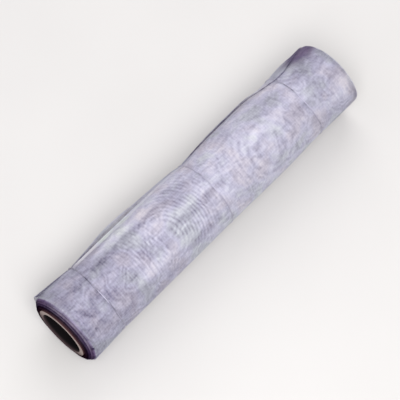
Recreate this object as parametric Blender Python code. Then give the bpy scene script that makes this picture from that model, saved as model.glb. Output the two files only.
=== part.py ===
# A roll of galvanized insect screen, wound on a cardboard core and held by three wire ties.
# Metres, +Z up. The roll lies along X, and its near end, where the core sticks out, is at -X.
# The loose last turn and its free edge are on the +Y side. The roll rests at z = 0 on a small flat
# spot, and the origin is on that spot, halfway along the whole roll with its core, but for the lean
# of its far rim.

from collections import namedtuple
from math import cos, radians, sin, tau

import bmesh
import bpy

MM = 0.001

# Sizes of the screen cloth
SCREEN_WIDTH = 610 * MM
SHEET_THICKNESS = 1.0 * MM
LEAST_SLOT = 0.35 * MM
LEAST_STAND_OFF = LEAST_SLOT + SHEET_THICKNESS

# How far the turns next to the core are pushed out at the near end, and how round that end is
TELESCOPE = 12.9 * MM
TELESCOPE_POWER = 2

# Sizes of the cardboard core
CORE_LENGTH = 610 * MM
CORE_DIAMETER = 94.4 * MM
CORE_BORE = 78.0 * MM
CORE_STICKS_OUT = 14.4 * MM

# How far the origin is from the near rim
ORIGIN_ALONG = (SCREEN_WIDTH - CORE_STICKS_OUT) / 2

# Sizes of the wire ties and of the grooves that they press into the cloth
WIRE_DIAMETER = 1.2 * MM
GROOVE_DEPTH = 0.7 * MM
GROOVE_HALF_FLOOR = 2.0 * MM
GROOVE_SLOPE = 6.0 * MM

# Clearance between pieces that touch
PIECE_GAP = 0.3 * MM

# Where the roll's axis and its flat spot lie
FLAT_HALF_ANGLE = radians(10)
REST_RADIUS = 63.2 * MM
AXIS_HEIGHT = REST_RADIUS * cos(FLAT_HALF_ANGLE)

# Directions round the roll, from +Y over the top: the loose side faces a little above +Y. The even
# steps start half a step past the top, so that a row of faces runs along the flat spot's middle.
LOOSE_SIDE = radians(18)
OTHER_SIDE = radians(200)
CREST = radians(92.5)
SLOT_ROOT = radians(-37.5)
TURN_STEP = radians(5)
EDGE_STEPS = 11
SLOT_STEPS = 14
TAPER_STEPS = 6

# How the loose turn bulges between its root and its free edge: where it stands off most, and the
# share of that which it loses by the edge
BULGE_PEAK = 0.75
BULGE_LOSS = 0.5

# How narrow each side's effect is: of the loose turn, and of the ties' slant on either side
LOOSE_WIDTH_POWER = 2
SLANT_WIDTH_POWER = 4
LEAN_WIDTH_POWER = 6

# Spacing of the loft's sections, rings on each end and sides of the core
SECTION_SPACING = 21 * MM
END_RINGS = 5
CORE_SIDES = 60

# One row for each section of the roll, in millimetres and degrees: how far it is from the near rim,
# the snug cloth's radius on the -Y side, the wound body's radius under the loose turn, the loose
# turn's own outer radius, and the angle of its free edge above +Y.
Section = namedtuple("Section", "along snug under loose edge")
SECTIONS = (
    Section(along=0, snug=65.4, under=65.0, loose=69.8, edge=37.5),
    Section(along=12, snug=64.9, under=64.8, loose=68.5, edge=37),
    Section(along=32, snug=64.2, under=63.8, loose=66.6, edge=35),
    Section(along=60, snug=63.1, under=62.3, loose=64.3, edge=33.5),
    Section(along=100, snug=63.1, under=62.0, loose=66.7, edge=37.5),
    Section(along=136, snug=63.1, under=61.8, loose=70.4, edge=42),
    Section(along=170, snug=63.2, under=61.7, loose=70.4, edge=43.5),
    Section(along=208, snug=63.2, under=61.6, loose=67.6, edge=39),
    Section(along=251, snug=63.2, under=61.4, loose=65.4, edge=36.5),
    Section(along=290, snug=63.3, under=60.7, loose=62.9, edge=35),
    Section(along=308, snug=63.3, under=58.8, loose=60.4, edge=33),
    Section(along=344, snug=63.3, under=60.6, loose=62.7, edge=30),
    Section(along=384, snug=64.1, under=61.2, loose=65.8, edge=30),
    Section(along=439, snug=64.3, under=61.4, loose=66.5, edge=30),
    Section(along=467, snug=63.7, under=61.3, loose=66.5, edge=32),
    Section(along=493, snug=62.8, under=59.6, loose=61.4, edge=40.5),
    Section(along=521, snug=62.6, under=59.8, loose=62.1, edge=50),
    Section(along=543, snug=63.0, under=60.6, loose=63.6, edge=53),
    Section(along=563, snug=63.4, under=61.0, loose=64.2, edge=47),
    Section(along=586, snug=63.6, under=60.9, loose=63.3, edge=37),
    Section(along=610, snug=63.4, under=61.0, loose=64.6, edge=30),
)

# One row for each wire tie, in millimetres: how far it is from the near rim over the top, and how
# far it slants off towards the far end on the loose side and on the other side.
Tie = namedtuple("Tie", "along slant lean")
TIES = (
    Tie(along=58.5, slant=7.5, lean=3.0),
    Tie(along=307.5, slant=3.5, lean=1.0),
    Tie(along=520, slant=3.5, lean=8.5),
)

# How far the rims lean, in millimetres: the near rim out on both sides, and the far rim out on the
# other side alone
NEAR_LEAN = -4.5
FAR_LEAN = 5.0

MATERIALS = {
    "galvanized_screen": {"colour": (0.52, 0.51, 0.62), "roughness": 0.55, "metallic": 0.55},
    "kraft_board": {"colour": (0.42, 0.30, 0.20), "roughness": 0.85, "metallic": 0.0},
    "tie_wire": {"colour": (0.20, 0.19, 0.25), "roughness": 0.5, "metallic": 0.8},
}


def clear_scene():
    for item in list(bpy.data.objects):
        bpy.data.objects.remove(item, do_unlink=True)


def material(name):
    look = MATERIALS[name]
    made = bpy.data.materials.new(name)
    made.use_nodes = True
    shader = made.node_tree.nodes["Principled BSDF"]
    shader.inputs["Base Color"].default_value = (*look["colour"], 1)
    shader.inputs["Roughness"].default_value = look["roughness"]
    shader.inputs["Metallic"].default_value = look["metallic"]
    return made


def add_object(name, data, finish):
    """Puts an object for this mesh or curve in the scene, with its material."""
    made = bpy.data.objects.new(name, data)
    bpy.context.scene.collection.objects.link(made)
    data.materials.append(finish)
    return made


def smooth_step(t):
    """A smooth rise from 0 to 1 as t goes from 0 to 1."""
    t = min(max(t, 0.0), 1.0)
    return t * t * (3 - 2 * t)


def between_rows(rows, column, along):
    """The column's value at this distance from the near rim, on a smooth curve through the rows."""
    places = [row.along for row in rows]
    values = [getattr(row, column) for row in rows]
    last = len(rows) - 1
    i = max(k for k in range(last) if places[k] <= along or k == 0)

    def slope(k):
        low = max(k - 1, 0)
        high = min(k + 1, last)
        return (values[high] - values[low]) / (places[high] - places[low])

    gap = places[i + 1] - places[i]
    t = min(max((along - places[i]) / gap, 0.0), 1.0)
    start = values[i] * (1 + 2 * t) * (1 - t) ** 2 + slope(i) * gap * t * (1 - t) ** 2
    end = values[i + 1] * (3 - 2 * t) * t**2 - slope(i + 1) * gap * t**2 * (1 - t)
    return start + end


def towards(side, angle, power):
    """1 in this side's direction, falling to 0 across the roll, the sooner the higher the power."""
    return ((1 + cos(angle - side)) / 2) ** power


def between_ties(column, along_mm):
    """How far a section leans along the roll, by the ties and rims."""
    ends = (Tie(0, NEAR_LEAN, NEAR_LEAN), *TIES, Tie(SCREEN_WIDTH / MM, 0, FAR_LEAN))
    for before, after in zip(ends, ends[1:]):
        if along_mm <= after.along:
            t = smooth_step((along_mm - before.along) / (after.along - before.along))
            start = getattr(before, column)
            return (start + (getattr(after, column) - start) * t) * MM
    return getattr(ends[-1], column) * MM


def groove_at(along):
    """1 in the floor of a tie's groove, falling smoothly to 0 outside it."""
    away = min(abs(along - tie.along * MM) for tie in TIES)
    return 1 - smooth_step((away - GROOVE_HALF_FLOOR) / GROOVE_SLOPE)


class Slice:
    """The roll's shape at one distance from the near rim."""

    def __init__(self, along):
        self.along = along
        self.groove = groove_at(along)
        self.slant = between_ties("slant", along / MM)
        self.lean = between_ties("lean", along / MM)
        row = {c: between_rows(SECTIONS, c, along / MM) for c in ("snug", "under", "loose", "edge")}
        self.snug = row["snug"] * MM
        self.under = row["under"] * MM
        self.loose = max(row["loose"] * MM, self.under + LEAST_STAND_OFF)
        self.edge = radians(row["edge"])

    def offset(self, angle):
        """How far the cloth is along the roll from a square section."""
        slant = self.slant * towards(LOOSE_SIDE, angle, SLANT_WIDTH_POWER)
        return slant + self.lean * towards(OTHER_SIDE, angle, LEAN_WIDTH_POWER)

    def point(self, radius, angle):
        """A point at this radius and angle, raised where it would reach below the flat spot."""
        x = self.along - ORIGIN_ALONG + self.offset(angle)
        clearance = self.groove * (WIRE_DIAMETER + 2 * PIECE_GAP)
        z = AXIS_HEIGHT + radius * sin(angle)
        return (x, radius * cos(angle), max(z, clearance))

    def body(self, angle):
        """Radius of the tightly wound body, under the loose turn."""
        loose_share = towards(LOOSE_SIDE, angle, LOOSE_WIDTH_POWER)
        return self.snug + (self.under - self.snug) * loose_share - self.groove * GROOVE_DEPTH

    def flap(self, share):
        """Outer radius of the loose turn, this share of the way from its root to its free edge."""
        angle = SLOT_ROOT + (self.edge - SLOT_ROOT) * share
        fall = BULGE_LOSS * smooth_step((share - BULGE_PEAK) / (1 - BULGE_PEAK))
        rise = smooth_step(share / BULGE_PEAK) - fall
        bulge = self.loose - self.under - LEAST_STAND_OFF
        return self.body(angle) + LEAST_STAND_OFF + bulge * rise

    def rim(self):
        """The wound body's points, from the free edge's foot over the top and right round."""
        first = [self.edge + (CREST - self.edge) * k / EDGE_STEPS for k in range(EDGE_STEPS)]
        turns = round((SLOT_ROOT + tau - CREST) / TURN_STEP)
        second = [CREST + TURN_STEP * k for k in range(turns)]
        slot = [SLOT_ROOT + (self.edge - SLOT_ROOT) * k / SLOT_STEPS for k in range(SLOT_STEPS)]
        radii = [self.body(angle) for angle in first + second]
        for k in range(TAPER_STEPS):
            radii[-1 - k] += LEAST_STAND_OFF * smooth_step(1 - (k + 1) / (TAPER_STEPS + 1))
        outside = list(zip(radii, first + second))
        inside = [(self.body(angle), angle) for angle in slot]
        return outside, inside

    def turn(self):
        """The loose turn's outer points from its root to its free edge, and its inner points."""
        shares = [k / SLOT_STEPS for k in range(SLOT_STEPS + 1)]
        angles = [SLOT_ROOT + (self.edge - SLOT_ROOT) * share for share in shares]
        outer = [(self.flap(share), angle) for share, angle in zip(shares, angles)]
        inner = [(radius - SHEET_THICKNESS, angle) for radius, angle in outer[1:]]
        return outer, inner


def stations():
    """Distances from the near rim at which the roll has a section."""
    places = {0.0, SCREEN_WIDTH}
    for tie in TIES:
        for away in (0, GROOVE_HALF_FLOOR, GROOVE_HALF_FLOOR + GROOVE_SLOPE):
            places |= {tie.along * MM - away, tie.along * MM + away}
    fixed = sorted(places)
    for low, high in zip(fixed, fixed[1:]):
        parts = max(1, round((high - low) / SECTION_SPACING))
        places |= {low + (high - low) * k / parts for k in range(1, parts)}
    return sorted(places)


def ring_faces(mesh, first, second, closed=True):
    """Faces between two rows of vertices of one length."""
    count = len(first)
    for k in range(count if closed else count - 1):
        after = (k + 1) % count
        mesh.faces.new((first[k], first[after], second[after], second[k]))


def end_rings(mesh, rim, piece):
    """Closes one end with the turns' edges, telescoped and ever squarer, as far as the core's ring."""
    core_hole = CORE_DIAMETER / 2 + PIECE_GAP
    outside, inside = piece.rim()
    ring = rim
    for step in range(1, END_RINGS + 1):
        share = step / END_RINGS
        made = []
        for radius, angle in outside + inside:
            spot = list(piece.point(radius + (core_hole - radius) * share, angle))
            spot[0] -= TELESCOPE * (1 - (1 - share) ** TELESCOPE_POWER) + piece.offset(angle) * share
            made.append(mesh.verts.new(spot))
        ring_faces(mesh, ring, made)
        ring = made
    return ring


def screen_roll(finish):
    """The wound screen: a body, its loose last turn as a sheet, and the telescoped ends."""
    mesh = bmesh.new()
    loops = []
    for along in stations():
        piece = Slice(along)
        outside, inside = piece.rim()
        outer, inner = piece.turn()
        rows = (outside, outer, inner[::-1], inside)
        loops.append([[mesh.verts.new(piece.point(*spot)) for spot in row] for row in rows])
    for before, after in zip(loops, loops[1:]):
        ring_faces(mesh, sum(before, []), sum(after, []))
    last_rings = []
    for (outside, outer, inner, inside), along in ((loops[0], 0.0), (loops[-1], SCREEN_WIDTH)):
        piece = Slice(along)
        last_rings.append(end_rings(mesh, outside + inside, piece))
        mesh.faces.new((outside[-1], outer[0], inside[0]))
        inner_side = [inside[0], *inner[::-1]]
        ring_faces(mesh, outer, inner_side, closed=False)
    ring_faces(mesh, *last_rings)
    bmesh.ops.triangulate(mesh, faces=mesh.faces[:])
    bmesh.ops.recalc_face_normals(mesh, faces=mesh.faces[:])
    data = bpy.data.meshes.new("screen_roll")
    mesh.to_mesh(data)
    mesh.free()
    data.shade_smooth()
    data.set_sharp_from_angle(angle=radians(35))
    return add_object("screen_roll", data, finish)


def core_tube(finish):
    """The cardboard core: a plain open tube with square-cut ends."""
    mesh = bmesh.new()
    near = -ORIGIN_ALONG - CORE_STICKS_OUT
    rings = []
    for x, diameter in (
        (near, CORE_BORE),
        (near, CORE_DIAMETER),
        (near + CORE_LENGTH, CORE_DIAMETER),
        (near + CORE_LENGTH, CORE_BORE),
    ):
        angles = [tau * k / CORE_SIDES for k in range(CORE_SIDES)]
        points = [(x, diameter / 2 * cos(a), AXIS_HEIGHT + diameter / 2 * sin(a)) for a in angles]
        rings.append([mesh.verts.new(point) for point in points])
    for first, second in zip(rings, rings[1:] + rings[:1]):
        ring_faces(mesh, first, second)
    bmesh.ops.recalc_face_normals(mesh, faces=mesh.faces[:])
    data = bpy.data.meshes.new("core_tube")
    mesh.to_mesh(data)
    mesh.free()
    data.shade_smooth()
    data.set_sharp_from_angle(angle=radians(35))
    return add_object("core_tube", data, finish)


def hull(points):
    """The convex outline of points in a plane, counterclockwise."""
    points = sorted(set(points))

    def half(row):
        kept = []
        for p in row:
            while len(kept) > 1:
                (ax, ay), (bx, by) = kept[-2:]
                if (bx - ax) * (p[1] - ay) - (by - ay) * (p[0] - ax) > 0:
                    break
                kept.pop()
            kept.append(p)
        return kept[:-1]

    return half(points) + half(points[::-1])


def reach(outline, angle):
    """How far the outline is from the roll's axis in this direction."""
    far = (cos(angle), sin(angle))
    for (ax, ay), (bx, by) in zip(outline, outline[1:] + outline[:1]):
        across = (bx - ax) * far[1] - (by - ay) * far[0]
        if abs(across) < 1e-12:
            continue
        share = (ay * far[0] - ax * far[1]) / across
        distance = (ax + (bx - ax) * share) * far[0] + (ay + (by - ay) * share) * far[1]
        if -1e-9 <= share <= 1 + 1e-9 and distance > 0:
            return distance
    raise ValueError("the outline doesn't go round the axis")


def tie(number, row, finish):
    """A wire pulled tight round the roll, in the groove that it presses."""
    piece = Slice(row.along * MM)
    outside, _ = piece.rim()
    outer, _ = piece.turn()
    spots = [piece.point(*spot) for spot in outside + outer]
    outline = hull([(y, z - AXIS_HEIGHT) for _, y, z in spots])
    curve = bpy.data.curves.new(f"tie_{number}", "CURVE")
    curve.dimensions = "3D"
    curve.bevel_depth = WIRE_DIAMETER / 2
    curve.bevel_resolution = 1
    spline = curve.splines.new("POLY")
    count = round(tau / TURN_STEP)
    spline.points.add(count - 1)
    spline.use_cyclic_u = True
    for k, point in enumerate(spline.points):
        angle = TURN_STEP * k
        radius = reach(outline, angle) + PIECE_GAP + WIRE_DIAMETER / 2
        x = piece.point(radius, angle)[0]
        point.co = (x, radius * cos(angle), AXIS_HEIGHT + radius * sin(angle), 1)
    return add_object(f"tie_{number}", curve, finish)


def main():
    clear_scene()
    screen_roll(material("galvanized_screen"))
    core_tube(material("kraft_board"))
    wire = material("tie_wire")
    for number, row in enumerate(TIES, start=1):
        tie(number, row, wire)


main()
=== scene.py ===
import bpy
import numpy as np
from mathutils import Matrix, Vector


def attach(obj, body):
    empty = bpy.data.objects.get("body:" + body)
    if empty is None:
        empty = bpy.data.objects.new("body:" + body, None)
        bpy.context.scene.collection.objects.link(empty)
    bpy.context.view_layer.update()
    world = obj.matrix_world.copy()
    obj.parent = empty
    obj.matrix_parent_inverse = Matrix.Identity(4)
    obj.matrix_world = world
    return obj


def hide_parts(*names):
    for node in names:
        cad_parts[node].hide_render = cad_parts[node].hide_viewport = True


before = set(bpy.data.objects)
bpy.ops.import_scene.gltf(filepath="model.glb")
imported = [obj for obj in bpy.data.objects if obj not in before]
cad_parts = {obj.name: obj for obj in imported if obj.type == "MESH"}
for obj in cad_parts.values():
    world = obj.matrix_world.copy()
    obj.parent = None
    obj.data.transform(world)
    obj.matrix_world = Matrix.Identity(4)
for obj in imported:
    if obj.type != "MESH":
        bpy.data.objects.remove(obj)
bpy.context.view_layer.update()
mm = 0.001

# Camera

photoView = {
    "azimuth": -47.23,
    "elevation": 64.65,
    "distance": 2384.7,
    "target": (-1.0, -2.3, 62.2),
    "lens": 134.0,
}


def addCamera():
    azimuth, elevation = np.radians((photoView["azimuth"], photoView["elevation"]))
    level = np.cos(elevation)
    back = Vector((np.sin(azimuth) * level, -np.cos(azimuth) * level, np.sin(elevation)))
    camera = bpy.data.objects.new("photo_view", bpy.data.cameras.new("photo_view"))
    camera.data.lens = photoView["lens"]
    camera.location = (Vector(photoView["target"]) + back * photoView["distance"]) * mm
    camera.rotation_euler = back.to_track_quat("Z", "Y").to_euler()
    bpy.context.scene.collection.objects.link(camera)
    bpy.context.scene.camera = camera


addCamera()
print("camera set")

# Shape of the roll: its solid's, but for the free edge of the loose last turn, which lies a little
# lower and goes less far round

rollShape = {
    "clothWidth": 610.0,
    "originAlong": 297.8,
    "restRadius": 63.2,
    "flatHalfAngle": 10.0,
    "firstTurn": 47.5,  # radius at which the first turn lies on the core
    "telescope": 12.9,  # how far the first turn is pushed out at the near end
    "telescopePower": 2.0,  # how round that end is
    "looseSide": 18.0,  # middle of the side where the turns are slack
    "otherSide": 200.0,
    "nearLean": -4.5,  # how far the near rim leans out on both sides
    "farLean": 5.0,  # and the far rim on the other side
    "slotRoot": -37.5,  # where the loose last turn leaves the roll
    "standOff": 1.35,  # how far it stands off there
    "leaving": 35.0,  # angle over which it gets there
    "bulgePeak": 0.75,  # share of the loose cloth at which it bulges most
    "bulgeLoss": 0.9,  # and how much of the bulge is gone at its edge
    "edgeGap": 0.9,  # how far its free edge stands off
    "flapLength": 81.0,  # cloth from there to its free edge
    "grooveDepth": 0.7,
    "grooveFloor": 2.0,
    "grooveSlope": 6.0,
    "grooveClearance": 1.8,  # how high a groove's floor is where the roll rests
    "slackPower": 2,  # how narrow the loose side is, and the sides that slant and lean
    "slantPower": 4,
    "leanPower": 6,
    "puckerHeight": 0.35,  # ridges that run out from each tie
    "puckerReach": 20.0,
    "puckerWaves": ((11, 1.0, 0.0, 0.04), (17, 0.6, 1.3, 0.0)),  # number, share, start, twist
}
rollShape["axisHeight"] = rollShape["restRadius"] * np.cos(np.radians(rollShape["flatHalfAngle"]))

ties = (  # how far each slants off along the roll on the loose side and leans on the other side
    {"node": "tie_1", "along": 58.5, "slant": 7.5, "lean": 3.0},
    {"node": "tie_2", "along": 307.5, "slant": 3.5, "lean": 1.0},
    {"node": "tie_3", "along": 520.0, "slant": 3.5, "lean": 8.5},
)

# Place along, snug radius, radius under the loose turn, the loose turn's own radius, its edge's angle
sectionColumns = ("along", "snug", "under", "loose", "edge")
sectionRows = (
    (0, 65.4, 65.0, 69.8, 32.5),
    (12, 64.9, 64.8, 68.5, 33),
    (32, 64.2, 63.8, 66.6, 31.5),
    (60, 63.1, 62.3, 64.3, 31),
    (100, 63.1, 62.0, 66.7, 32.5),
    (136, 63.1, 61.8, 70.4, 34),
    (170, 63.2, 61.7, 70.4, 36),
    (208, 63.2, 61.6, 67.6, 32.5),
    (251, 63.2, 61.4, 65.4, 31.5),
    (290, 63.3, 60.7, 62.9, 32),
    (308, 63.3, 58.8, 60.4, 31),
    (344, 63.3, 60.6, 62.7, 26.5),
    (384, 64.1, 61.2, 65.8, 23.5),
    (439, 64.3, 61.4, 66.5, 23.5),
    (467, 63.7, 61.3, 66.5, 25),
    (493, 62.8, 59.6, 61.4, 39),
    (521, 62.6, 59.8, 62.1, 49),
    (543, 63.0, 60.6, 63.6, 51.5),
    (563, 63.4, 61.0, 64.2, 45),
    (586, 63.6, 60.9, 63.3, 34.5),
    (610, 63.4, 61.0, 64.6, 23),
)
sections = dict(zip(sectionColumns, np.array(sectionRows, float).T))


def smoothStep(t):
    t = np.clip(t, 0.0, 1.0)
    return t * t * (3 - 2 * t)


def rowCurve(column, along):  # a smooth curve through one column of the sections
    places, values = sections["along"], sections[column]
    last = len(places) - 1
    low = np.maximum(np.arange(last + 1) - 1, 0)
    high = np.minimum(np.arange(last + 1) + 1, last)
    slopes = (values[high] - values[low]) / (places[high] - places[low])
    i = np.clip(np.searchsorted(places, along, side="right") - 1, 0, last - 1)
    gap = places[i + 1] - places[i]
    t = np.clip((along - places[i]) / gap, 0.0, 1.0)
    start = values[i] * (1 + 2 * t) * (1 - t) ** 2 + slopes[i] * gap * t * (1 - t) ** 2
    end = values[i + 1] * (3 - 2 * t) * t**2 - slopes[i + 1] * gap * t**2 * (1 - t)
    return start + end


def towards(side, angle, power):  # 1 in this side's direction, falling to 0 across the roll
    return ((1 + np.cos(np.radians(angle - rollShape[side]))) / 2) ** power


def betweenTies(column, along):  # how far a section slants or leans along the roll
    places = np.array([0.0, *(tie["along"] for tie in ties), rollShape["clothWidth"]])
    atFarRim = rollShape["farLean"] if column == "lean" else 0.0
    values = np.array([rollShape["nearLean"], *(tie[column] for tie in ties), atFarRim])
    i = np.clip(np.searchsorted(places, along, side="right") - 1, 0, len(places) - 2)
    t = smoothStep((along - places[i]) / (places[i + 1] - places[i]))
    return values[i] + (values[i + 1] - values[i]) * t


def shiftAt(along, angle):
    slant = betweenTies("slant", along) * towards("looseSide", angle, rollShape["slantPower"])
    return slant + betweenTies("lean", along) * towards("otherSide", angle, rollShape["leanPower"])


def fromTies(along):
    return np.min([np.abs(along - tie["along"]) for tie in ties], axis=0)


def grooveAt(along):  # 1 in the floor of a tie's groove, 0 outside it
    return 1 - smoothStep((fromTies(along) - rollShape["grooveFloor"]) / rollShape["grooveSlope"])


def puckers(along, angle):  # ridges and hollows where the cloth is gathered under a tie
    ridges = 0.0
    for number, share, start, twist in rollShape["puckerWaves"]:
        ridges = ridges + share * np.sin(number * np.radians(angle) + start + twist * along)
    gathered = np.exp(-((fromTies(along) / rollShape["puckerReach"]) ** 2))
    return rollShape["puckerHeight"] * gathered * (ridges * (1 - grooveAt(along)) - 1)


def bodyRadius(along, angle):  # outside of the tight turns, flat where the roll rests
    share = towards("looseSide", angle, rollShape["slackPower"])
    snug, under, groove = rowCurve("snug", along), rowCurve("under", along), grooveAt(along)
    radius = snug + (under - snug) * share - groove * rollShape["grooveDepth"] + puckers(along, angle)
    lowest = rollShape["axisHeight"] - groove * rollShape["grooveClearance"]
    downwards = np.maximum(-np.sin(np.radians(angle)), 1e-6)  # more than 0, also on the upper half
    return np.minimum(radius, lowest / downwards)


def aroundAxis(x, angle, radius):  # points in metres, this far from the roll's axis
    turn = np.radians(angle)
    y = radius * np.cos(turn)
    z = rollShape["axisHeight"] + radius * np.sin(turn)
    return np.stack(np.broadcast_arrays(x, y, z), -1) * mm


def inPlace(along, angle, radius, depth=0.0):  # the same on a slanting turn, this deep in the roll
    x = along - rollShape["originAlong"] + shiftAt(along, angle) * (1 - depth)
    return aroundAxis(x, angle, radius)


def outwardAt(angle):  # straight off the roll's axis
    turn = np.radians(angle)
    return np.stack((0 * turn, np.cos(turn), np.sin(turn)), -1)


def arcFromTop(angle):  # arc from the top, positive towards the loose side, in millimetres
    turned = (90 - np.asarray(angle, float) + 180) % 360 - 180
    return np.radians(turned) * rollShape["restRadius"]


def insideEdge(along, angle):  # arc from the free edge back towards the top, in millimetres
    return arcFromTop(rowCurve("edge", along)) - arcFromTop(angle)


def stationsAlong(spacing):  # places along the roll with the grooves' edges among them
    fixed = {0.0, rollShape["clothWidth"]}
    edge = rollShape["grooveFloor"] + rollShape["grooveSlope"]
    for tie in ties:
        for away in (0, rollShape["grooveFloor"], edge):
            fixed |= {tie["along"] - away, tie["along"] + away}
    fixed = sorted(fixed)
    places = set(fixed)
    for low, high in zip(fixed, fixed[1:]):
        parts = max(1, round((high - low) / spacing))
        places |= {low + (high - low) * k / parts for k in range(1, parts)}
    return np.array(sorted(places))


core = {  # the tube's sizes, and the steps of its worn plies
    "outer": 47.2,
    "bore": 39.0,
    "length": 610.0,
    "sticksOut": 14.4,
    "rim": 0.7,
    "plies": 6,
    "plyStep": 0.12,
    "plyEdge": 0.1,  # half the width of each step's slope
    "rimPoints": 5,
    "steps": 120,
    "sharpFrom": 35,  # angle between faces from which an edge is sharp
}

# Materials

smooth = {"interpolation_type": "SMOOTHSTEP"}
colourMix = {"data_type": "RGBA"}  # its colours go into 6 and 7, and come out of 2
colourMultiply = {**colourMix, "blend_type": "MULTIPLY"}
noiseMiddle = 0.5  # the value that noise varies about
spotCore = 0.3  # share of a patch that has its full strength
waveRate = 20  # radians that a wave texture goes through for each unit


def linearColour(hexColour):  # an sRGB hex value as a linear colour
    channels = np.array([int(hexColour[k : k + 2], 16) for k in (1, 3, 5)]) / 255
    linear = np.where(channels <= 0.04045, channels / 12.92, ((channels + 0.055) / 1.055) ** 2.4)
    return (*linear.tolist(), 1.0)


def addNode(tree, kind, settings=(), inputs=(), stops=()):  # a node with its settings and links
    node = tree.nodes.new(kind)
    for name, value in dict(settings).items():
        setattr(node, name, value)
    for k, (position, colour) in enumerate(stops):  # a ramp has two stops to begin with
        element = node.color_ramp.elements[k] if k < 2 else node.color_ramp.elements.new(position)
        element.position = position
        element.color = linearColour(colour) if isinstance(colour, str) else (*colour, 1)
    for socket, value in dict(inputs).items():
        if isinstance(value, bpy.types.NodeSocket):
            tree.links.new(value, node.inputs[socket])
        else:
            node.inputs[socket].default_value = value
    return node


def newMaterial(name):
    material = bpy.data.materials.new(name)
    material.use_nodes = True
    tree = material.node_tree
    return material, tree, tree.nodes["Principled BSDF"]


def waveScale(pitch):
    return 2 * np.pi / (waveRate * pitch)


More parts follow.
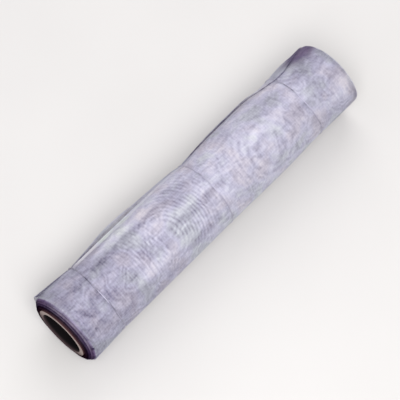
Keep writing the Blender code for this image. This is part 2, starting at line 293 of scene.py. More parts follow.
# Galvanised steel wire, hot dipped and woven: zinc gives a soft, slightly blue and matt shine, and
# the many layers of fine mesh give shimmering rings and ripples where their wires line up.
screenFinish = {
    "tones": (
        (0.0, "#5C5270"),
        (0.1, "#908C9F"),
        (0.2, "#A5A2B3"),
        (0.35, "#BBB9C8"),
        (0.6, "#D8D7E2"),
        (1.0, "#F8F8FB"),
    ),
    "metallic": 0.35,
    "roughness": 0.5,
    "gloss": 0.0,  # zinc has no clear layer over it
    "warpPitch": 4.23,  # three times the real pitch, because 1.41 mm wouldn't show
    "weftPitch": 4.77,  # three times the real pitch, because 1.59 mm wouldn't show
    "weaveStrength": 0.04,
    "weaveDistortion": 0.8,
    "weaveDetail": 0.3,
    "bump": {"strength": 0.25, "height": 0.3},
    # Tones added along the free edge, partly painted light and shade, and the distances where each starts,
    # is full from and to, and ends
    "edge": {
        "wires": (-1.0, 0.0, 2.52, 4.2),  # its own close wires, with a painted highlight towards the near end and painted shade further along
        "sheet": (4.2, 5.0, 5.0, 19.0),  # the single sheet outside them, darkened as painted shade of the gap under it
        "inside": (-18.0, -10.0, 1.0, 8.0),  # the roll inside them, painted lighter to take out the shade under the loose edge
        "tones": (  # place along, and the tones of the wires, the sheet and the roll
            (0, 0.00, -0.40, 0.20),
            (45, 0.05, -0.34, 0.20),
            (62, 0.20, -0.10, 0.30),
            (78, 0.80, -0.34, 0.68),
            (128, 0.85, -0.34, 0.75),
            (152, 0.35, -0.38, 0.58),
            (205, 0.25, -0.34, 0.55),
            (225, 0.20, -0.10, 0.42),
            (300, 0.10, -0.10, 0.20),
            (345, -0.68, -0.55, 0.00),
            (455, -0.72, -0.58, 0.00),
            (482, -0.50, -0.05, 0.00),
            (545, -0.50, 0.05, 0.00),
            (575, -0.30, -0.20, 0.00),
            (610, -0.10, -0.30, 0.00),
        ),
    },
    "middleTone": 0.53,
    # Uneven tone, from long bands to grain: its size along and across, detail and strength
    "clouds": (
        (160, 24, 2.0, 0.28),
        (30, 17, 3.0, 0.46),
        (8, 5, 2.0, 0.34),
        (3.3, 3.3, 1.0, 0.24),
        (2.4, 10, 1.0, 0.22),
    ),
    # Faint changes of hue: their size, and the hues from one extreme to the other
    "hues": {"size": 40, "shades": ((0.36, "#FBF9F7"), (0.5, "#F8F9FC"), (0.64, "#F6FAF5"))},
    "sway": {"size": 50, "reach": 7},  # how the rings wander
    "breaks": {"size": 26, "detail": 1.0, "from": 0.3, "to": 0.5},  # where they break off
    # Rings: their centre along and round the roll, their spacing, how far out they reach it,
    # the share that shows straight above and below the centre, the scale of distances round the roll
    # (below 1 makes them longer that way), the patch where they show, and their strength
    "ripples": (
        ((55, -30), 6.5, 8, 0.5, 0.8, (156, -20, 66, 80), 0.08),
        ((198, -31), 6.1, 28, 0.3, 0.72, (230, -10, 104, 108), 0.115),
        ((424, -41), 8.8, 62, 0.7, 0.9, (412, -36, 100, 80), 0.115),
        ((362, 60), 7.5, 30, 0.7, 1, (352, 8, 46, 50), 0.07),
        ((590, -38), 8.0, 26, 0.7, 1, (572, -34, 40, 42), 0.06),
        ((150, -150), 6.2, 50, 0.5, 0.8, (150, -150, 130, 60), 0.09),
        ((430, 140), 7.4, 60, 0.5, 0.8, (430, 140, 150, 60), 0.09),
    ),
    "contours": {"size": 62, "lines": 11, "strength": 0.07},  # ripples with no centre
    # Darker and lighter patches: centre along and round the roll, half length, half width, strength
    "patches": (
        (0, 0, 240, 500, -0.2),
        (0, 0, 26, 400, -0.08),
        (94, 19, 40, 9, -0.1),
        (125, 36, 66, 15, 0.2),
        # painted light: this and the next lift the shade under the loose edge and on the flap near the top
        # outline
        (120, 46, 110, 22, 0.08),
        (150, 86, 90, 16, 0.2),
        (18.6, -52, 3, 3.5, -0.15),
        (-1.5, -78.5, 4, 4, -0.34),
        (40, 16, 30, 8, -0.08),
        (58, -22, 18, 18, -0.12),
        (152, -22, 28, 13, -0.12),
        (255, 16, 54, 12, -0.1),
        (200, 15, 60, 14, -0.12),
        (260, 0, 36, 13, -0.14),
        (150, -36, 80, 8, -0.06),
        (155, -48, 80, 14, 0.2),
        (246, -70, 50, 13, -0.24),
        (75, -72, 24, 9, -0.14),
        (330, -10, 160, 14, 0.08),
        (265, -25, 120, 12, -0.18),
        (322, -24, 28, 14, -0.1),
        (440, -8, 70, 14, 0.12),
        (470, 15, 54, 17, -0.18),
        (515, -33, 76, 14, -0.14),
        (562, -46, 30, 13, -0.14),
        (590, -55, 70, 26, 0.24),
        (582, 6, 40, 14, -0.1),
        (640, -40, 150, 400, -0.1),
        (1.5, 14, 4.5, 62, 0.18),
        (20, -24, 26, 20, -0.12),
        (560, 20, 60, 18, -0.14),
        (200, 46, 170, 12, 0.09),
        (185, 33, 52, 12, 0.24),
        (455, 46, 90, 12, 0.12),
        (350, 10, 78, 14, 0.11),
        (183, 4, 40, 16, 0.14),
        (66, -2, 20, 14, 0.12),
        (131, -54, 30, 12, 0.12),
        (153, -31, 18, 9, -0.1),
        (66, -30, 26, 14, -0.08),
        (216, -31, 30, 10, 0.1),
    ),
    "farCorner": {"spot": (594, 58, 60, 42), "tint": "#B0A2BA"},  # in the shade of the loose edge
}

# The turns' edges at the ends have painted shade that deepens towards the core, with thin pale lines
# between them, and are reddish near the core as painted light off the board. On the sides that turn from
# the light the shade is darker.
endLook = {
    "shades": (
        (0.00, "#FFFFFF"),
        (0.03, "#F6F2F6"),
        (0.055, "#DAD6DE"),
        (0.085, "#CCC6D2"),
        (0.12, "#AAA0B0"),
        (0.16, "#8F8092"),
        (0.20, "#806E7D"),
        (0.23, "#9C8C9B"),
        (0.26, "#ADA4AD"),
        (0.29, "#988C99"),
        (0.33, "#695870"),
        (0.37, "#53445E"),
        (0.41, "#695C6E"),
        (0.46, "#8F8690"),
        (0.50, "#5C505E"),
        (0.54, "#2B1C2C"),
        (0.58, "#211329"),
        (0.63, "#2A1A2B"),
        (0.67, "#4C3840"),
        (0.71, "#54403F"),
        (0.75, "#392930"),
        (0.80, "#4E3A3A"),
        (0.86, "#3A2A2C"),
        (0.92, "#4A3632"),
        (1.00, "#2A1C1C"),
    ),
    "waver": {"size": 24, "reach": 0.10},  # how the bands wander
    "dullFrom": 0.2,  # depth from which the edges lose their metallic shine
    "dullTo": 0.5,
    "bandsFrom": 0.02,  # depth past which the bands wander and the tint shows
    "bandsTo": 0.08,
    "litArc": -20,  # middle of the side that faces the light
    "darkFrom": 30,  # arc from there to where the tint starts
    "darkTo": 76,
    "paintedShadeTint": "#C4A8CC",
}


def spotMask(tree, place, spot):  # 1 within a patch, falling smoothly to 0 at its rim
    along, arc, length, width = spot
    centre = (along, arc, 0)
    away = addNode(tree, "ShaderNodeVectorMath", {"operation": "SUBTRACT"}, {0: place, 1: centre})
    size = (1 / length, 1 / width, 0)
    away = addNode(tree, "ShaderNodeVectorMath", {"operation": "MULTIPLY"}, {0: away.outputs[0], 1: size})
    far = addNode(tree, "ShaderNodeVectorMath", {"operation": "LENGTH"}, {0: away.outputs[0]})
    inside = {"Value": far.outputs["Value"], "From Min": 1.0, "From Max": spotCore}
    return addNode(tree, "ShaderNodeMapRange", smooth, inside).outputs[0]


# The phase of some rings, which grows as the square of the distance, and evenly past the bend, and
# how much of them shows: all beside the centre, and less above and below it
def ringPhase(tree, place, centre, spacing, bend, across, roundScale):
    away = {0: place, 1: (*centre, 0)}
    away = addNode(tree, "ShaderNodeVectorMath", {"operation": "SUBTRACT"}, away)
    flat = {0: away.outputs[0], 1: (1, roundScale, 0)}
    flat = addNode(tree, "ShaderNodeVectorMath", {"operation": "MULTIPLY"}, flat).outputs[0]
    far = addNode(tree, "ShaderNodeVectorMath", {"operation": "LENGTH"}, {0: flat}).outputs["Value"]
    near = addNode(tree, "ShaderNodeMath", {"operation": "MINIMUM"}, {0: far, 1: bend}).outputs[0]
    square = addNode(tree, "ShaderNodeMath", {"operation": "MULTIPLY"}, {0: near, 1: near}).outputs[0]
    beyond = addNode(tree, "ShaderNodeMath", {"operation": "SUBTRACT"}, {0: far, 1: near}).outputs[0]
    rate = 2 * np.pi / spacing
    inner = {0: square, 1: rate / (2 * bend)}
    inner = addNode(tree, "ShaderNodeMath", {"operation": "MULTIPLY"}, inner).outputs[0]
    phase = addTone(tree, inner, beyond, rate)
    beside = addNode(tree, "ShaderNodeVectorMath", {"operation": "NORMALIZE"}, {0: flat})
    beside = addNode(tree, "ShaderNodeSeparateXYZ", (), {0: beside.outputs[0]}).outputs["X"]
    beside = addNode(tree, "ShaderNodeMath", {"operation": "ABSOLUTE"}, {0: beside}).outputs[0]
    return phase, addTone(tree, across, beside, 1 - across)


def addTone(tree, tone, pattern, strength):  # a tone or other value with this much of a pattern added
    inputs = {0: pattern, 1: strength, 2: tone}
    return addNode(tree, "ShaderNodeMath", {"operation": "MULTIPLY_ADD"}, inputs).outputs[0]


def cloudTone(tree, look, spot):  # broad bands, clouds and grain
    tone = look["middleTone"] - noiseMiddle * sum(strength for *_, strength in look["clouds"])
    for along, across, detail, strength in look["clouds"]:
        size = [1 / (length * mm) for length in (along, across, across)]
        scaled = addNode(tree, "ShaderNodeVectorMath", {"operation": "MULTIPLY"}, {0: spot, 1: size})
        inputs = {"Vector": scaled.outputs[0], "Scale": 1.0, "Detail": detail}
        noise = addNode(tree, "ShaderNodeTexNoise", (), inputs)
        tone = addTone(tree, tone, noise.outputs["Fac"], strength)
    return tone


def rippleTone(tree, look, place, tone):  # rings and contour lines where layers of mesh line up
    sway, breaks, contours = look["sway"], look["breaks"], look["contours"]
    wander = addNode(tree, "ShaderNodeTexNoise", (), {"Vector": place, "Scale": 1 / sway["size"]})
    shift = {0: wander.outputs["Color"], 1: [noiseMiddle] * 3}
    shift = addNode(tree, "ShaderNodeVectorMath", {"operation": "SUBTRACT"}, shift)
    swayed = {0: shift.outputs[0], 1: [sway["reach"]] * 3, 2: place}
    swayed = addNode(tree, "ShaderNodeVectorMath", {"operation": "MULTIPLY_ADD"}, swayed).outputs[0]
    patchy = {"Vector": place, "Scale": 1 / breaks["size"], "Detail": breaks["detail"]}
    patchy = addNode(tree, "ShaderNodeTexNoise", (), patchy)
    broken = {"Value": patchy.outputs["Fac"], "From Min": breaks["from"], "From Max": breaks["to"]}
    broken = addNode(tree, "ShaderNodeMapRange", (), broken).outputs[0]
    for *rings, spot, strength in look["ripples"]:
        phase, beside = ringPhase(tree, swayed, *rings)
        shown = addNode(tree, "ShaderNodeMath", {"operation": "COSINE"}, {0: phase}).outputs[0]
        for share in (spotMask(tree, place, spot), beside, broken):
            shown = {0: shown, 1: share}
            shown = addNode(tree, "ShaderNodeMath", {"operation": "MULTIPLY"}, shown).outputs[0]
        tone = addTone(tree, tone, shown, strength)
    hills = addNode(tree, "ShaderNodeTexNoise", (), {"Vector": swayed, "Scale": 1 / contours["size"]})
    phase = {0: hills.outputs["Fac"], 1: 2 * np.pi * contours["lines"]}
    phase = addNode(tree, "ShaderNodeMath", {"operation": "MULTIPLY"}, phase).outputs[0]
    lines = addNode(tree, "ShaderNodeMath", {"operation": "COSINE"}, {0: phase}).outputs[0]
    shown = addNode(tree, "ShaderNodeMath", {"operation": "MULTIPLY"}, {0: lines, 1: broken}).outputs[0]
    return addTone(tree, tone, shown, contours["strength"])


def weaveWires(tree, look, cloth):  # crossing bands of warp and weft
    shown = []
    for direction, pitch in (("X", look["warpPitch"]), ("Y", look["weftPitch"])):
        bands = {"wave_type": "BANDS", "bands_direction": direction}
        inputs = {"Distortion": look["weaveDistortion"], "Detail Scale": look["weaveDetail"]}
        inputs = {"Vector": cloth, "Scale": waveScale(pitch), **inputs}
        shown.append(addNode(tree, "ShaderNodeTexWave", bands, inputs).outputs["Fac"])
    return addNode(tree, "ShaderNodeMath", {"operation": "ADD"}, {0: shown[0], 1: shown[1]}).outputs[0]


def edgeLightAndShade(tree, look, place, cloth, tone):  # the free edge's own tone, with its painted highlight and shade, and the painted shade and light on either side
    edge, width = look["edge"], rollShape["clothWidth"]
    split = addNode(tree, "ShaderNodeSeparateXYZ", (), {0: cloth})
    fromEdge, inside = split.outputs["Y"], split.outputs["Z"]
    # The ramp's colours hold the three tones, from -1 to 1, as 0 to 1
    stops = [(along / width, [(1 + share) / 2 for share in row]) for along, *row in edge["tones"]]
    along = addNode(tree, "ShaderNodeSeparateXYZ", (), {0: place}).outputs["X"]
    along = addNode(tree, "ShaderNodeMath", {"operation": "DIVIDE"}, {0: along, 1: width}).outputs[0]
    shades = addNode(tree, "ShaderNodeValToRGB", (), {"Fac": along}, stops).outputs[0]
    shades = {0: shades, 1: (2, 2, 2), 2: (-1, -1, -1)}
    shades = addNode(tree, "ShaderNodeVectorMath", {"operation": "MULTIPLY_ADD"}, shades)
    shades = addNode(tree, "ShaderNodeSeparateXYZ", (), {0: shades.outputs[0]})
    underFlap = {0: fromEdge, 1: rollShape["flapLength"]}
    onRoll = addNode(tree, "ShaderNodeMath", {"operation": "GREATER_THAN"}, underFlap).outputs[0]
    bands = (
        ("X", edge["wires"], fromEdge, 1.0),
        ("Y", edge["sheet"], fromEdge, 1.0),
        ("Z", edge["inside"], inside, onRoll),
    )
    for shade, (low, full, fullTo, high), distance, share in bands:
        starts = {"Value": distance, "From Min": low, "From Max": full}
        starts = addNode(tree, "ShaderNodeMapRange", smooth, starts).outputs[0]
        fades = {"Value": distance, "From Min": high, "From Max": fullTo}
        fades = addNode(tree, "ShaderNodeMapRange", smooth, fades).outputs[0]
        band = addNode(tree, "ShaderNodeMath", {"operation": "MULTIPLY"}, {0: starts, 1: fades}).outputs[0]
        band = addNode(tree, "ShaderNodeMath", {"operation": "MULTIPLY"}, {0: band, 1: share}).outputs[0]
        tone = addTone(tree, tone, band, shades.outputs[shade])
    return tone


def endShade(tree, place):  # the painted shade of the turns' edges at this depth and place round the roll
    look = endLook
    split = addNode(tree, "ShaderNodeSeparateXYZ", (), {0: place})
    depth = split.outputs["Z"]
    away = {0: split.outputs["Y"], 1: look["litArc"]}
    away = addNode(tree, "ShaderNodeMath", {"operation": "SUBTRACT"}, away).outputs[0]
    away = addNode(tree, "ShaderNodeMath", {"operation": "ABSOLUTE"}, {0: away}).outputs[0]
    dark = {"Value": away, "From Min": look["darkFrom"], "From Max": look["darkTo"]}
    dark = addNode(tree, "ShaderNodeMapRange", smooth, dark).outputs[0]
    inside = {"Value": depth, "From Min": look["bandsFrom"], "From Max": look["bandsTo"]}
    inside = addNode(tree, "ShaderNodeMapRange", smooth, inside).outputs[0]
    dark = addNode(tree, "ShaderNodeMath", {"operation": "MULTIPLY"}, {0: dark, 1: inside}).outputs[0]
    waver = look["waver"]
    noise = addNode(tree, "ShaderNodeTexNoise", (), {"Vector": place, "Scale": 1 / waver["size"]})
    moved = addTone(tree, -noiseMiddle * waver["reach"], noise.outputs["Fac"], waver["reach"])
    depth = addTone(tree, depth, inside, moved)
    shade = addNode(tree, "ShaderNodeValToRGB", (), {"Fac": depth}, look["shades"]).outputs[0]
    tinted = {"Factor": dark, 6: shade, 7: linearColour(look["paintedShadeTint"])}
    return addNode(tree, "ShaderNodeMix", colourMultiply, tinted).outputs[2]


def screenMaterial():
    look = screenFinish
    material, tree, shader = newMaterial("galvanised_woven_wire")
    place = addNode(tree, "ShaderNodeAttribute", {"attribute_name": "place"}).outputs["Vector"]
    cloth = addNode(tree, "ShaderNodeAttribute", {"attribute_name": "cloth"}).outputs["Vector"]
    spot = addNode(tree, "ShaderNodeTexCoord").outputs["Object"]
    tone = cloudTone(tree, look, spot)
    for *patch, strength in look["patches"]:
        tone = addTone(tree, tone, spotMask(tree, place, patch), strength)
    tone = rippleTone(tree, look, place, tone)
    wires = weaveWires(tree, look, cloth)
    tone = addTone(tree, tone, wires, look["weaveStrength"])
    tone = edgeLightAndShade(tree, look, place, cloth, tone)
    colour = addNode(tree, "ShaderNodeValToRGB", (), {"Fac": tone}, look["tones"]).outputs[0]
    hues = look["hues"]
    noise = addNode(tree, "ShaderNodeTexNoise", (), {"Vector": spot, "Scale": 1 / (hues["size"] * mm)})
    hue = addNode(tree, "ShaderNodeValToRGB", (), {"Fac": noise.outputs["Fac"]}, hues["shades"]).outputs[0]
    corner = look["farCorner"]
    shaded = spotMask(tree, place, corner["spot"])
    shaded = {"Factor": shaded, 6: (1, 1, 1, 1), 7: linearColour(corner["tint"])}
    shaded = addNode(tree, "ShaderNodeMix", colourMix, shaded).outputs[2]
    for tint in (hue, shaded, endShade(tree, place)):
        colour = {"Factor": 1.0, 6: colour, 7: tint}
        colour = addNode(tree, "ShaderNodeMix", colourMultiply, colour).outputs[2]
    tree.links.new(colour, shader.inputs["Base Color"])
    bump = {"Strength": look["bump"]["strength"], "Distance": look["bump"]["height"] * mm}
    bump = addNode(tree, "ShaderNodeBump", (), {"Height": wires, **bump})
    tree.links.new(bump.outputs[0], shader.inputs["Normal"])
    depth = addNode(tree, "ShaderNodeSeparateXYZ", (), {0: place}).outputs["Z"]
    metal = {"Value": depth, "From Min": endLook["dullTo"], "From Max": endLook["dullFrom"]}
    metal = addNode(tree, "ShaderNodeMapRange", (), {**metal, "To Max": look["metallic"]})
    tree.links.new(metal.outputs[0], shader.inputs["Metallic"])
    shader.inputs["Roughness"].default_value = look["roughness"]
    shader.inputs["Specular IOR Level"].default_value = look["gloss"]
    return material


# Kraft board, wound on the bias and glued: dull tan with fibres, and the plies' edges on its ends.
# Its outer wall is darker, and the inside is painted in deep shade past the mouth, so it looks nearly
# black.
boardFinish = {
    "board": "#A2948F",
    "fibre": "#83736C",
    "underside": "#463639",  # the part of its ends that turns from the light
    "lightFrom": (0, -0.306, 0.952),
    "underFrom": 14.0,
    "underTo": -30.0,
    "outside": "#4A2E30",
    "mouth": "#3A2E30",
    "inside": "#0A0608",
    "mouthDepth": 5.0,
    "roughness": 0.85,
    "gloss": 0.15,
    "plyThickness": 1.4,  # twice the real ply, because 0.7 mm wouldn't show
    "plyShare": 0.35,  # how much of the mottle the plies are
    "plyDistortion": 0.6,
    "plyDetail": 30.0,
    "fibreSize": 1.1,
    "fibreDetail": 4.0,
    "wallDarkFrom": 0.7,  # distance off each wall over which its darker colour fades: painted shade on the inner wall
    "wallDarkTo": 0.1,
}


def boardMaterial():
    look = boardFinish
    material, tree, shader = newMaterial("kraft_board_wound")
    spot = addNode(tree, "ShaderNodeTexCoord").outputs["Object"]
    split = addNode(tree, "ShaderNodeSeparateXYZ", (), {0: spot})
    axis = (0, 0, rollShape["axisHeight"] * mm)
    centred = addNode(tree, "ShaderNodeVectorMath", {"operation": "SUBTRACT"}, {0: spot, 1: axis})
    radial = {0: centred.outputs[0], 1: (0, 1, 1)}
    radial = addNode(tree, "ShaderNodeVectorMath", {"operation": "MULTIPLY"}, radial).outputs[0]
    radius = addNode(tree, "ShaderNodeVectorMath", {"operation": "LENGTH"}, {0: radial}).outputs["Value"]
    rings = {"wave_type": "RINGS", "rings_direction": "X"}
    plies = {"Distortion": look["plyDistortion"], "Detail Scale": look["plyDetail"]}
    plies = {"Vector": radial, "Scale": waveScale(look["plyThickness"] * mm), **plies}
    plies = addNode(tree, "ShaderNodeTexWave", rings, plies)
    fibres = {"Vector": spot, "Scale": 1 / (look["fibreSize"] * mm), "Detail": look["fibreDetail"]}
    fibres = addNode(tree, "ShaderNodeTexNoise", (), fibres)
    mottle = addTone(tree, fibres.outputs["Fac"], plies.outputs["Fac"], look["plyShare"])
    colour = {"Factor": mottle, 6: linearColour(look["fibre"]), 7: linearColour(look["board"])}
    colour = addNode(tree, "ShaderNodeMix", colourMix, colour).outputs[2]
    # The underside in painted shade, the darker outer wall, and the inner wall in painted shade, darker
    # past the mouth
    height = {0: centred.outputs[0], 1: look["lightFrom"]}
    height = addNode(tree, "ShaderNodeVectorMath", {"operation": "DOT_PRODUCT"}, height).outputs["Value"]
    low = {"Value": height, "From Min": look["underFrom"] * mm, "From Max": look["underTo"] * mm}
    low = addNode(tree, "ShaderNodeMapRange", smooth, low).outputs[0]
    colour = {"Factor": low, 6: colour, 7: linearColour(look["underside"])}
    colour = addNode(tree, "ShaderNodeMix", colourMix, colour).outputs[2]
    ends = (rollShape["originAlong"] + core["sticksOut"]) * mm
    towardsEnds = addNode(tree, "ShaderNodeMath", {"operation": "ABSOLUTE"}, {0: split.outputs["X"]})
    deep = {"Value": towardsEnds.outputs[0], "From Min": ends, "From Max": ends - look["mouthDepth"] * mm}
    deep = addNode(tree, "ShaderNodeMapRange", smooth, deep).outputs[0]
    wall = {"Factor": deep, 6: linearColour(look["mouth"]), 7: linearColour(look["inside"])}
    wall = addNode(tree, "ShaderNodeMix", colourMix, wall).outputs[2]
    for edge, shade, side in ((core["outer"], linearColour(look["outside"]), -1), (core["bore"], wall, 1)):
        low, high = ((edge + side * look[end]) * mm for end in ("wallDarkFrom", "wallDarkTo"))
        fade = {"Value": radius, "From Min": low, "From Max": high}
        fade = addNode(tree, "ShaderNodeMapRange", smooth, fade).outputs[0]
        colour = {"Factor": fade, 6: colour, 7: shade}
        colour = addNode(tree, "ShaderNodeMix", colourMix, colour).outputs[2]
    tree.links.new(colour, shader.inputs["Base Color"])
    shader.inputs["Roughness"].default_value = look["roughness"]
    shader.inputs["Specular IOR Level"].default_value = look["gloss"]
    return material


# Galvanised tie wire: bright zinc worn dull in places, and painted lighter on the side that faces the
# light, so it shows and fades along its way
wireFinish = {
    "dull": "#6B6579",
    "bright": "#C9C5D6",
    "metallic": 1.0,
    "roughness": 0.38,
    "size": 26,
    "dullTo": 0.4,  # values of the noise up to which it is dull, and from which it is bright
    "brightFrom": 0.6,
    "middle": 0.16,  # how much brighter the middle tie is
    "middleReach": 120,
    "lit": 0.12,  # and the side of each that faces the light
    "litFrom": 10,
    "litTo": -25,
}


def wireMaterial():
    look = wireFinish
    material, tree, shader = newMaterial("galvanised_soft_wire")
    spot = addNode(tree, "ShaderNodeTexCoord").outputs["Object"]
    worn = addNode(tree, "ShaderNodeTexNoise", (), {"Vector": spot, "Scale": 1 / (look["size"] * mm)})
    split = addNode(tree, "ShaderNodeSeparateXYZ", (), {0: spot})
    away = addNode(tree, "ShaderNodeMath", {"operation": "ABSOLUTE"}, {0: split.outputs["X"]}).outputs[0]
    near = {"Value": away, "From Min": look["middleReach"] * mm, "From Max": 0.0, "To Max": look["middle"]}
    near = addNode(tree, "ShaderNodeMapRange", (), near).outputs[0]
    side = {"From Min": look["litFrom"] * mm, "From Max": look["litTo"] * mm, "To Max": look["lit"]}
    side = addNode(tree, "ShaderNodeMapRange", (), {"Value": split.outputs["Y"], **side}).outputs[0]
    shown = addNode(tree, "ShaderNodeMath", {"operation": "ADD"}, {0: near, 1: side}).outputs[0]
    worn = addNode(tree, "ShaderNodeMath", {"operation": "ADD"}, {0: worn.outputs["Fac"], 1: shown})
    patches = {"Value": worn.outputs[0], "From Min": look["dullTo"], "From Max": look["brightFrom"]}
    patches = addNode(tree, "ShaderNodeMapRange", (), patches).outputs[0]
    skin = {"Factor": patches, 6: linearColour(look["dull"]), 7: linearColour(look["bright"])}
    skin = addNode(tree, "ShaderNodeMix", colourMix, skin)
    tree.links.new(skin.outputs[2], shader.inputs["Base Color"])
    shader.inputs["Metallic"].default_value = look["metallic"]
    shader.inputs["Roughness"].default_value = look["roughness"]
    return material


screen = screenMaterial()
board = boardMaterial()
wire = wireMaterial()
print("materials made")

# Mesh pieces


def addPiece(name, points, faces, material, marks=()):
    mesh = bpy.data.meshes.new(name)
    mesh.from_pydata(points.reshape(-1, 3).tolist(), [], faces)
    for mark, values in dict(marks).items():
        layer = mesh.attributes.new(mark, "FLOAT_VECTOR", "POINT")
        layer.data.foreach_set("vector", np.ascontiguousarray(values, np.float32).ravel())
    mesh.materials.append(material)
    mesh.shade_smooth()
    piece = bpy.data.objects.new(name, mesh)
    bpy.context.scene.collection.objects.link(piece)
    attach(piece, "root")
    return piece


def tubePoints(centres, outward, radius, sides):  # rings of points round paths, all at once
    along = np.gradient(centres, axis=-2)
    along /= np.linalg.norm(along, axis=-1, keepdims=True)
    across = np.cross(along, outward)
    across /= np.linalg.norm(across, axis=-1, keepdims=True)
    up = np.cross(across, along)
    corners = 2 * np.pi * np.arange(sides) / sides + np.pi / 2  # the first one outward
    rings = np.sin(corners)[:, None] * up[..., None, :] + np.cos(corners)[:, None] * across[..., None, :]
    return centres[..., None, :] + radius * rings


def tubeFaces(wires, steps, sides):  # closed tubes with capped ends
    index = np.arange(wires * steps * sides).reshape(wires, steps, sides)
    near, far = index[:, :-1], index[:, 1:]
    quads = np.stack((near, np.roll(near, -1, 2), np.roll(far, -1, 2), far), -1).reshape(-1, 4)
    return quads.tolist() + index[:, 0, ::-1].tolist() + index[:, -1].tolist()


# The last turn, woven from single wires at their real pitch, with its loose flap

lastTurn = {
    "wire": 0.28,
    "sides": 3,
    "corner": 0.6,  # how far a wire's corners are from its middle, in diameters
    "warpPitch": 1.41,  # 18 wires to the inch
    "weftPitch": 1.59,  # 16 wires to the inch
    "selvageWires": 5,
    "selvagePitch": 0.5,
    "edgeWires": 7,
    "edgePitch": 0.6,
    "flapSteps": 16,
    "roundSteps": 56,
    "stationSpacing": 13.0,
    "wireShare": 0.34,  # of the cloth's area that its wires cover
}
lastTurn["length"] = rollShape["flapLength"] + 2 * np.pi * rollShape["restRadius"]


def clothAngle(along, fromEdge):  # angle round the roll of a point this far from the free edge
    share = 1 - fromEdge / rollShape["flapLength"]
    root, edge = rollShape["slotRoot"], rowCurve("edge", along)
    beyond = np.degrees((fromEdge - rollShape["flapLength"]) / rollShape["restRadius"])
    return np.where(share > 0, root + (edge - root) * share, root - beyond)


def lastTurnRadius(along, fromEdge):
    angle = clothAngle(along, fromEdge)
    share = 1 - fromEdge / rollShape["flapLength"]
    body, under = bodyRadius(along, angle), rowCurve("under", along)
    peak, standOff = rollShape["bulgePeak"], rollShape["standOff"]
    settled = smoothStep((share - peak) / (1 - peak))
    rise = smoothStep(share / peak) - rollShape["bulgeLoss"] * settled
    bulge = np.maximum(rowCurve("loose", along) - under - standOff, 0)
    flapGap = standOff + (rollShape["edgeGap"] - standOff) * settled
    leaving = standOff * smoothStep(1 - (rollShape["slotRoot"] - angle) / rollShape["leaving"])
    return np.where(share > 0, body + flapGap + bulge * rise, body + leaving)


def wirePiece(name, along, fromEdge, depth):  # wires along rows of cloth places
    along, fromEdge = np.broadcast_arrays(along, fromEdge)
    angle = clothAngle(along, fromEdge)
    centres = inPlace(along, angle, lastTurnRadius(along, fromEdge) - depth)
    sides = lastTurn["sides"]
    radius = lastTurn["corner"] * lastTurn["wire"] * mm
    points = tubePoints(centres, outwardAt(angle), radius, sides)
    place = np.stack((along, arcFromTop(angle), 0 * along), -1)
    cloth = np.stack((along, fromEdge, insideEdge(along, angle)), -1)
    marks = {"place": np.repeat(place, sides, axis=1), "cloth": np.repeat(cloth, sides, axis=1)}
    faces = tubeFaces(*along.shape, sides)
    return addPiece(name, points, faces, screen, marks)


def addLastTurn():
    width, length = rollShape["clothWidth"], lastTurn["length"]
    half = lastTurn["wire"] / 2
    selvage = half + lastTurn["selvagePitch"] * np.arange(lastTurn["selvageWires"])
    inner = np.arange(selvage[-1], width - selvage[-1], lastTurn["warpPitch"])[1:]
    warp = np.sort(np.concatenate((selvage, inner, width - selvage)))
    flap = np.linspace(0, rollShape["flapLength"], lastTurn["flapSteps"] + 1)
    rest = np.linspace(rollShape["flapLength"], length, lastTurn["roundSteps"] + 1)[1:]
    warpPiece = wirePiece("last_turn_warp", warp[:, None], np.concatenate((flap, rest))[None], half)
    edge = half + lastTurn["edgePitch"] * np.arange(lastTurn["edgeWires"])
    weft = np.concatenate((edge, np.arange(edge[-1], length, lastTurn["weftPitch"])[1:]))
    stations = stationsAlong(lastTurn["stationSpacing"])
    underWarp = half + lastTurn["wire"]
    weftPiece = wirePiece("last_turn_weft", stations[None], weft[:, None], underWarp)
    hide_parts("screen_roll")


# The turns under it, one long sheet wound from the core outwards and telescoped at both ends

woundTurns = {
    "turns": 24,
    "depth": 0.75,  # of its outer face under the last turn's
    "thickness": 0.3,
    "steps": 72,  # round each turn
    "stationSpacing": 13.0,
    "innerStations": (0, 3, 8, 18, 40, 110, 305, 500, 570, 592, 602, 607, 610),
    "drawnIn": 1.3,  # of the hidden turns, clear of the grooves
    "drawnReach": 40,  # from the rims to where they are fully drawn in
    "drawnTurns": 0.5,  # how many turns that takes
    "bunch": 0.9,  # how far bunches of turns stand out of the slope of the ends
    "bunchTurns": 3.3,
    "bunchSway": (1.3, 0.7),  # how much and how fast they wander
    "wobbles": ((0.3, 1.37, 0.0), (0.25, 2.21, 1.0)),  # height, waves to a turn, start
    "recess": 2.6,  # of the turns next to the core
    "recessFrom": 0.8,  # the depth where it starts
    "apart": 0.6,  # from one turn to the next
}


def turnShift(turn):  # how far this turn is pushed towards the near end
    look = woundTurns
    depth = (turn - 1) / look["turns"]
    reach, rate = look["bunchSway"]
    bunch = look["bunch"] * np.sin(2 * np.pi * turn / look["bunchTurns"] + reach * np.sin(rate * turn))
    wobble = 0.0
    for height, waves, start in look["wobbles"]:
        wobble = wobble + height * np.sin(2 * np.pi * waves * turn + start)
    recess = look["recess"] * smoothStep((depth - look["recessFrom"]) / (1 - look["recessFrom"]))
    pushed = rollShape["telescope"] * (1 - (1 - depth) ** rollShape["telescopePower"])
    return pushed + (bunch + wobble) * smoothStep(turn - 1) - recess


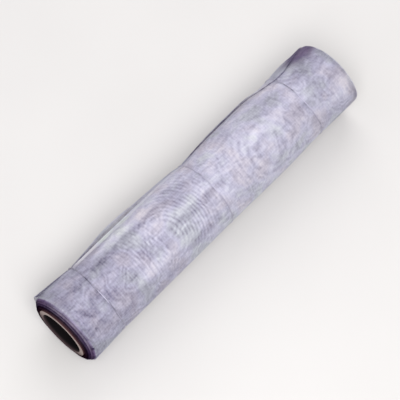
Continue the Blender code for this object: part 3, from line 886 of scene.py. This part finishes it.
def shellFaces(rows, columns):  # a closed thin shell: outer face, inner face and the four rims
    outer = np.arange(rows * columns).reshape(rows, columns)
    inner = outer + rows * columns
    quads = []
    for grid, flip in ((outer, False), (inner, True)):
        corners = (grid[:-1, :-1], grid[1:, :-1], grid[1:, 1:], grid[:-1, 1:])
        quads.append(np.stack(corners[::-1] if flip else corners, -1).reshape(-1, 4))
    loop = np.concatenate((outer[0, :-1], outer[:-1, -1], outer[-1, :0:-1], outer[:0:-1, 0]))
    after = np.roll(loop, -1)
    quads.append(np.stack((loop, after, after + rows * columns, loop + rows * columns), -1))
    return np.concatenate(quads)


def woundPart(first, last, stations):  # points, faces, marks and length of some of the turns
    look, width = woundTurns, rollShape["clothWidth"]
    turn = np.linspace(first, last, round((last - first) * look["steps"]) + 1)[:, None]
    across = np.asarray(stations, float)[None]
    along = across - turnShift(turn)
    angle = rollShape["slotRoot"] - 360 * turn
    depth = (turn - 1) / look["turns"]
    middle = smoothStep(np.minimum(across, width - across) / look["drawnReach"])
    drawn = look["drawnIn"] * middle * smoothStep((turn - 2) / look["drawnTurns"])
    outside = bodyRadius(np.clip(along, 0, width), angle) - look["depth"] - drawn
    lowest = rollShape["firstTurn"] + look["thickness"]
    radius = lowest + (outside - lowest) * (1 - depth)
    outer = inPlace(along, angle, radius, depth)
    inner = inPlace(along, angle, radius - look["thickness"], depth)
    spiral = rollShape["restRadius"] * (turn - 1) - look["apart"] / 2 * (turn - 1) ** 2
    fromEdge = lastTurn["length"] + 2 * np.pi * spiral
    place = np.stack(np.broadcast_arrays(along, arcFromTop(angle), depth), -1)
    cloth = np.stack(np.broadcast_arrays(across, fromEdge, insideEdge(along, angle)), -1)
    marks = (("place", place), ("cloth", cloth))
    marks = {name: np.stack((values, values)).reshape(-1, 3) for name, values in marks}
    midWidth = outer[:, outer.shape[1] // 2]
    length = float(np.linalg.norm(np.diff(midWidth, axis=0), axis=1).sum())
    return np.stack((outer, inner)).reshape(-1, 3), shellFaces(*along.shape), marks, length


def addWoundTurns():
    points, faces, marks, length = woundPart(1, 2, stationsAlong(woundTurns["stationSpacing"]))
    last = 1 + woundTurns["turns"]
    innerPoints, innerFaces, innerMarks, innerLength = woundPart(2, last, woundTurns["innerStations"])
    faces = np.concatenate((faces, innerFaces + len(points)))
    points = np.concatenate((points, innerPoints))
    marks = {name: np.concatenate((marks[name], innerMarks[name])) for name in marks}
    length += innerLength
    piece = addPiece("wound_turns", points, faces.tolist(), screen, marks)
    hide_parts("screen_roll")
    print(f"wound turns: {length:.2f} m of cloth")


# The core, with worn rims and its plies showing on the ends


def coreProfile():  # (along, radius) points of the near end, from the outside to the bore
    outer, bore, rim, slope = core["outer"], core["bore"], core["rim"], core["plyEdge"]
    corner = np.radians(np.linspace(0, 90, core["rimPoints"]))
    outerRim = [(rim * (1 - np.sin(a)), outer - rim * (1 - np.cos(a))) for a in corner]
    innerRim = [(x, outer + bore - r) for x, r in outerRim[::-1]]
    plies = []
    for k in range(1, core["plies"]):
        r = outer - rim - (outer - bore - 2 * rim) * k / core["plies"]
        step = core["plyStep"] * (k % 2)
        plies += [(core["plyStep"] - step, r + slope), (step, r - slope)]
    return outerRim + plies + innerRim


def addCore():
    near = -core["sticksOut"]
    far = near + core["length"]
    end = coreProfile()
    profile = [(near + x, r) for x, r in end] + [(far - x, r) for x, r in end[::-1]]
    angle = 360 * np.arange(core["steps"])[:, None] / core["steps"]
    along, radius = np.array(profile).T[:, None]
    points = aroundAxis(along - rollShape["originAlong"], angle, radius)
    index = np.arange(core["steps"] * len(profile)).reshape(core["steps"], -1)
    after, beside = np.roll(index, -1, 0), np.roll(index, -1, 1)
    faces = np.stack((index, after, np.roll(after, -1, 1), beside), -1).reshape(-1, 4)
    piece = addPiece("core_board", points, faces.tolist(), board)
    piece.data.set_sharp_from_angle(angle=np.radians(core["sharpFrom"]))
    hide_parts("core_tube")


# The ties, wires pulled tight round the roll in their grooves

tieWire = {
    "diameter": 1.2,
    "gap": 0.3,
    "steps": 180,
    "sides": 10,
    "samples": 600,  # of the cloth under it
    "directionStep": 0.5,
    "leastFacing": 0.2,  # cosine past which a direction is too far round to count
}


def tieRadius(tie, angle):  # the wire goes straight where the cloth under it is hollow
    fromEdge = np.linspace(0, lastTurn["length"], tieWire["samples"])
    around = clothAngle(tie["along"], fromEdge)
    reach = lastTurnRadius(tie["along"], fromEdge)
    directions = np.radians(np.arange(0, 360, tieWire["directionStep"]))
    support = np.max(reach[:, None] * np.cos(np.radians(around)[:, None] - directions), axis=0)
    facing, least = np.cos(np.radians(angle)[:, None] - directions), tieWire["leastFacing"]
    reached = np.where(facing > least, support / np.maximum(facing, least), np.inf)
    return reached.min(axis=1) + tieWire["gap"] + tieWire["diameter"] / 2


def addTies():
    steps, sides = tieWire["steps"], tieWire["sides"]
    angle = 360 * np.arange(steps) / steps
    index = np.arange(steps * sides).reshape(steps, sides)
    after = np.roll(index, -1, 0)
    faces = np.stack((index, np.roll(index, -1, 1), np.roll(after, -1, 1), after), -1).reshape(-1, 4)
    for tie in ties:
        rows = (inPlace(tie["along"], angle, tieRadius(tie, angle)), outwardAt(angle))
        centres, outward = (np.concatenate((row[-1:], row, row[:1])) for row in rows)
        points = tubePoints(centres, outward, tieWire["diameter"] / 2 * mm, sides)[1:-1]
        piece = addPiece(tie["node"].replace("tie", "tie_wire"), points, faces.tolist(), wire)
        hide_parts(tie["node"])


addWoundTurns()
addLastTurn()
addCore()
addTies()
print("pieces made")

# Floor and lights, in metres

studio = {
    "floor": ("#CECCC9", "#D4D2CF"),
    "floorSize": 8.0,
    "floorGrain": 30.0,
    "floorRoughness": 0.9,
    "world": "#F2F1F6",
    "worldStrength": 0.74,
    "keySize": 1.6,
    "keyPower": 55.0,
    "keyPlace": (-0.9, -1.1, 2.2),
    "fillSize": 1.8,
    "fillPower": 18.0,
    "fillPlace": (1.3, 1.2, 1.5),
}


# Painted board, rolled matt: it has no shine, so all that shows on it is the roll's soft shadow.
def addFloor():
    half = studio["floorSize"] / 2
    corners = [(-half, -half, 0), (half, -half, 0), (half, half, 0), (-half, half, 0)]
    mesh = bpy.data.meshes.new("floor")
    mesh.from_pydata(corners, [], [(0, 1, 2, 3)])
    floor = bpy.data.objects.new("floor", mesh)
    bpy.context.scene.collection.objects.link(floor)
    material, tree, shader = newMaterial("matt_painted_board")
    grain = addNode(tree, "ShaderNodeTexNoise", (), {"Scale": studio["floorGrain"]}).outputs["Fac"]
    dark, light = (linearColour(shade) for shade in studio["floor"])
    tint = addNode(tree, "ShaderNodeMix", colourMix, {"Factor": grain, 6: dark, 7: light})
    tree.links.new(tint.outputs[2], shader.inputs["Base Color"])
    shader.inputs["Roughness"].default_value = studio["floorRoughness"]
    mesh.materials.append(material)


def addLight(name, place, size, power):
    light = bpy.data.lights.new(name, "AREA")
    light.shape = "SQUARE"
    light.size = size
    light.energy = power
    lamp = bpy.data.objects.new(name, light)
    lamp.location = place
    lamp.rotation_euler = Vector(place).to_track_quat("Z", "Y").to_euler()
    bpy.context.scene.collection.objects.link(lamp)


def addStudio():
    addFloor()
    addLight("key_softbox", studio["keyPlace"], studio["keySize"], studio["keyPower"])
    addLight("fill_softbox", studio["fillPlace"], studio["fillSize"], studio["fillPower"])
    world = bpy.data.worlds.new("studio")
    world.use_nodes = True
    background = world.node_tree.nodes["Background"]
    background.inputs["Color"].default_value = linearColour(studio["world"])
    background.inputs["Strength"].default_value = studio["worldStrength"]
    bpy.context.scene.world = world
    bpy.context.scene.view_settings.view_transform = "Standard"


addStudio()
print("studio set")
